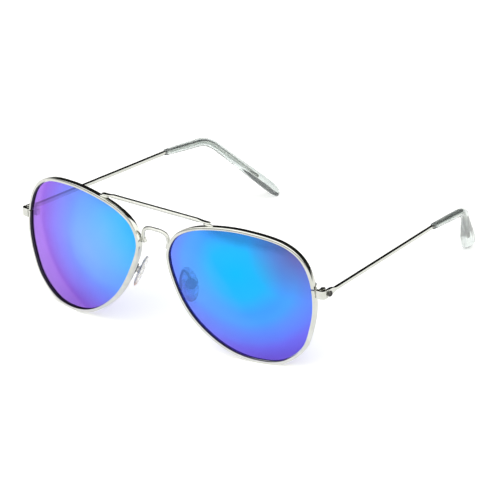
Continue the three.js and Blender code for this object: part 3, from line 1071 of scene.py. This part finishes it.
def lengthwise(stations, sides):
    """A closed straight bar along y. Each station is (y, half across, half up)."""
    start, across, up = stations[0]
    nothing_selected()
    bpy.ops.mesh.primitive_circle_add(
        vertices=sides, radius=1, fill_type="NGON", location=(0, start, 0),
        rotation=(math.pi / 2, 0, 0),
    )
    piece = bpy.context.object
    settle_into_mesh()
    pick(piece, "faces", lambda face: True)
    bpy.ops.transform.resize(value=(across, 1, up), center_override=(0, start, 0))
    for place, next_across, next_up in stations[1:]:
        bpy.ops.mesh.extrude_region_move(
            TRANSFORM_OT_translate={"value": (0, place - start, 0)},
        )
        bpy.ops.transform.resize(
            value=(next_across / across, 1, next_up / up), center_override=(0, place, 0),
        )
        start, across, up = place, next_across, next_up
    leave()
    turned_out(piece)
    return piece


def temple_tip():
    """A clear sleeve over the core. It swells, turns down and flattens into a paddle."""
    length = tip_length()
    bore = 0.72
    inside = [(place, bore, bore) for place in (CORE_LENGTH + 0.4, 30, 24, 20, 16, 10, 4, 0.2)]
    mouth = [(0.0, 0.8, 0.8), (0.0, 1.05, 1.05), (0.12, 1.15, 1.15)]
    outside = [
        (0.6, 1.25, 1.25), (8, 1.4, 1.45), (13, 1.46, 1.53), (16.5, 1.5, 1.6), (18.6, 1.5, 1.6),
        (20.8, 1.5, 1.6), (23, 1.5, 1.65), (25.2, 1.5, 1.65), (27.5, 1.5, 1.7), (32, 1.5, 1.78),
        (36, 1.5, 2.1), (41, 1.5, 2.42), (45, 1.5, 2.8), (length - 6, 1.45, 3.1),
        (length - 2.5, 1.35, 2.9), (length - 0.8, 1.0, 2.2), (length - 0.05, 0.6, 1.4),
    ]
    tip = lengthwise(inside + mouth + outside, 20)
    apply_modifier(tip, "SUBSURF", levels=2, render_levels=2)
    moved(tip, Matrix.Rotation(PADDLE_ROLL, 4, "Y"))
    return bent_round_ear(tip)


def temple_wire():
    """One wire: pressed flat at the hinge, round along the side and thinner inside the tip."""
    run = (SLEEVE_START - FLARE_START).length
    flare = block((-0.6, 0, -1.55), (0.6, 2.6, 1.55))
    pick(flare, "edges", lambda edge: abs(edge.verts[0].co.y - edge.verts[1].co.y) > 1)
    bpy.ops.mesh.bevel(offset=0.35, segments=4, affect="EDGES")
    leave()
    pick(flare, "faces", lambda face: face.normal.y > 0.9)
    reach = 2.6
    for place, across, up in ((3.9, 1, 0.9), (5, 1, 0.71), (6.2, 1.12, 0.72)):
        bpy.ops.mesh.extrude_region_move(
            TRANSFORM_OT_translate={"value": (0, place - reach, 0)},
        )
        bpy.ops.transform.resize(value=(across, 1, up), center_override=(0, place, 0))
        reach = place
    bpy.ops.transform.tosphere(value=1)
    leave()
    pick(flare, "faces", lambda face: face.normal.y > 0.9)
    bpy.ops.mesh.extrude_region_move(TRANSFORM_OT_translate={"value": (0, run - 1 - reach, 0)})
    bpy.ops.transform.resize(value=(0.97, 1, 0.97), center_override=(0, run - 1, 0))
    leave()
    turned_out(flare)
    rivet_hole = pin(0.65, -3, 3, bevel=0)
    moved(rivet_hole, Matrix.Translation((0, RIVET_BACK, 0)) @ SIDEWAYS)
    cut(flare, rivet_hole)
    rounded(flare, 0.1, 2, 40)
    forwards = (SLEEVE_START - FLARE_START).normalized()
    across = (Vector((1, 0, 0)) - forwards * forwards.x).normalized()
    upwards = across.cross(forwards)
    turn = Matrix((across, forwards, upwards)).transposed().to_4x4()
    moved(flare, Matrix.Translation(FLARE_START) @ turn)
    # The stations lie closest together round the bend behind the ear.
    places = (-1.05, 4, 8, 12, 15, 17, 18, 19, 20, 21, 22, 23, 24, 26, 30, 34, CORE_LENGTH - 0.3)
    stations = [(place, CORE_RADIUS, CORE_RADIUS) for place in places]
    core = lengthwise(stations + [(CORE_LENGTH, 0.4, 0.4)], 24)
    bent_round_ear(core)
    return joined(flare, core)


def temple_rivet():
    """A domed head with a pressed cross, on the outside of the flare, and its shank."""
    head = pin(1.1, 0, 0.5, bevel=0)
    pick(head, "faces", lambda face: face.normal.z > 0.9)
    bpy.ops.mesh.bevel(offset=0.4, segments=5, affect="EDGES", profile=0.5)
    leave()
    for turn in (45, 135):
        arm_of_cross = block((-0.75, -0.2, 0.2), (0.75, 0.2, 1))
        cut(head, moved(arm_of_cross, Matrix.Rotation(math.radians(turn), 4, "Z")))
    rounded(head, 0.04, 2, 50)
    shank = pin(0.35, -1.3, 0.1, bevel=0)
    fused(head, shank)
    outside = FLARE_START + Vector((0.9, RIVET_BACK, 0))
    moved(head, Matrix.Translation(outside) @ SIDEWAYS)
    return head


wire = temple_wire()
smoothed(wire)
both_sides(wire, "temple_wire_flared", "temple", [METAL], ["temple_wire"])
tip = temple_tip()
smoothed(tip, 60)
both_sides(tip, "temple_tip_clear", "temple", [PLASTIC], ["temple_tip"])
rivet = temple_rivet()
smoothed(rivet)
both_sides(rivet, "temple_rivet_head", "temple", [BLACKENED], ["temple_rivet"])


# Floor, light and camera

def pale_floor():
    """Matt white paper on a light table, with painted shade that fades it to a dull grey further
    out.
    """
    nothing_selected()
    bpy.ops.mesh.primitive_plane_add(size=6.0, location=(0, 0, 0))
    floor = bpy.context.object
    floor.name = "pale_floor"
    material, tree, output = blank_material("matt_white_paper")
    place = add_node(tree, "ShaderNodeTexCoord")
    fibre = add_node(
        tree, "ShaderNodeTexNoise", {"Scale": 40, "Detail": 2}, {"Vector": (place, "Object")},
    )
    colour = add_node(
        tree, "ShaderNodeValToRGB", {"stops": [(0.3, "#f7f7f6"), (0.7, "#fafaf9")]},
        {"Fac": (fibre, "Fac")},
    )
    from_middle = add_node(
        tree, "ShaderNodeVectorMath", {"operation": "LENGTH"}, {0: (place, "Object")},
    )
    # Painted shade: the paper, and its glow, fade smoothly to a dull grey between 0.33 and 0.62 m
    # from the middle.
    falloff = add_node(
        tree, "ShaderNodeMapRange",
        {"interpolation_type": "SMOOTHSTEP", "From Min": 0.33, "From Max": 0.62},
        {"Value": (from_middle, "Value")},
    )
    table = add_node(
        tree, "ShaderNodeMix", {"data_type": "RGBA", 7: linear("#8f8f8f")},
        {0: (falloff, "Result"), 6: (colour, "Color")},
    )
    sheet = add_node(tree, "ShaderNodeBsdfDiffuse", links={"Color": (table, 2)})
    lit_from_below = add_node(tree, "ShaderNodeEmission", {"Strength": 0.28}, {"Color": (table, 2)})
    paper = add_node(tree, "ShaderNodeAddShader", links={0: (sheet, 0), 1: (lit_from_below, 0)})
    tree.links.new(paper.outputs[0], output.inputs["Surface"])
    floor.data.materials.append(material)


def studio_sky():
    """Softboxes in front and overhead, and an unlit room behind, above a white table."""
    world = bpy.data.worlds.new("studio")
    bpy.context.scene.world = world
    world.use_nodes = True
    tree = world.node_tree
    tree.nodes.clear()
    direction = add_node(tree, "ShaderNodeTexCoord")
    axes = add_node(tree, "ShaderNodeSeparateXYZ", links={"Vector": (direction, "Generated")})
    towards_softboxes = add_node(
        tree, "ShaderNodeVectorMath", {"operation": "DOT_PRODUCT", 1: (0.6, -0.8, 0)},
        {0: (direction, "Generated")},
    )
    softboxes = add_node(
        tree, "ShaderNodeMapRange",
        {"interpolation_type": "SMOOTHSTEP", "From Min": -0.25, "From Max": -0.14, "To Min": 0.015,
         "To Max": 1.75},
        {"Value": (towards_softboxes, "Value")},
    )
    above_table = add_node(
        tree, "ShaderNodeMapRange", {"From Min": -0.02, "From Max": 0.02}, {"Value": (axes, "Z")},
    )
    brightness = add_node(
        tree, "ShaderNodeMix", {"data_type": "FLOAT", 2: 0.9},
        {0: (above_table, "Result"), 3: (softboxes, "Result")},
    )
    light = add_node(
        tree, "ShaderNodeBackground", {"Color": linear("#fffffd")}, {"Strength": (brightness, 0)},
    )
    output = add_node(tree, "ShaderNodeOutputWorld")
    tree.links.new(light.outputs[0], output.inputs["Surface"])


CAMERA_TARGET = Vector((23.25, 24.6, 6.07))
CAMERA_DISTANCE = 3.53  # metres
FOCAL_LENGTH = 715.2


def camera():
    """Looks down from the wearer's left front, far away through a long lens."""
    bearing, height, roll = math.radians(38.97), math.radians(23.69), math.radians(-2.28)
    back = Vector((
        math.sin(bearing) * math.cos(height),
        -math.cos(bearing) * math.cos(height),
        math.sin(height),
    ))
    level = Vector((math.cos(bearing), math.sin(bearing), 0))
    upright = back.cross(level)
    right = level * math.cos(roll) + upright * math.sin(roll)
    up = upright * math.cos(roll) - level * math.sin(roll)
    target = lens_centre_plane + CAMERA_TARGET * MM
    bpy.ops.object.camera_add()
    eye = bpy.context.object
    eye.data.sensor_width = 36
    eye.data.lens = FOCAL_LENGTH
    eye.data.clip_end = 20
    eye.matrix_world = Matrix.Translation(target + back * CAMERA_DISTANCE) @ Matrix(
        (right, up, back)
    ).transposed().to_4x4()
    bpy.context.scene.camera = eye


pale_floor()
studio_sky()
camera()
bpy.context.scene.view_settings.view_transform = "Standard"

nothing_selected()
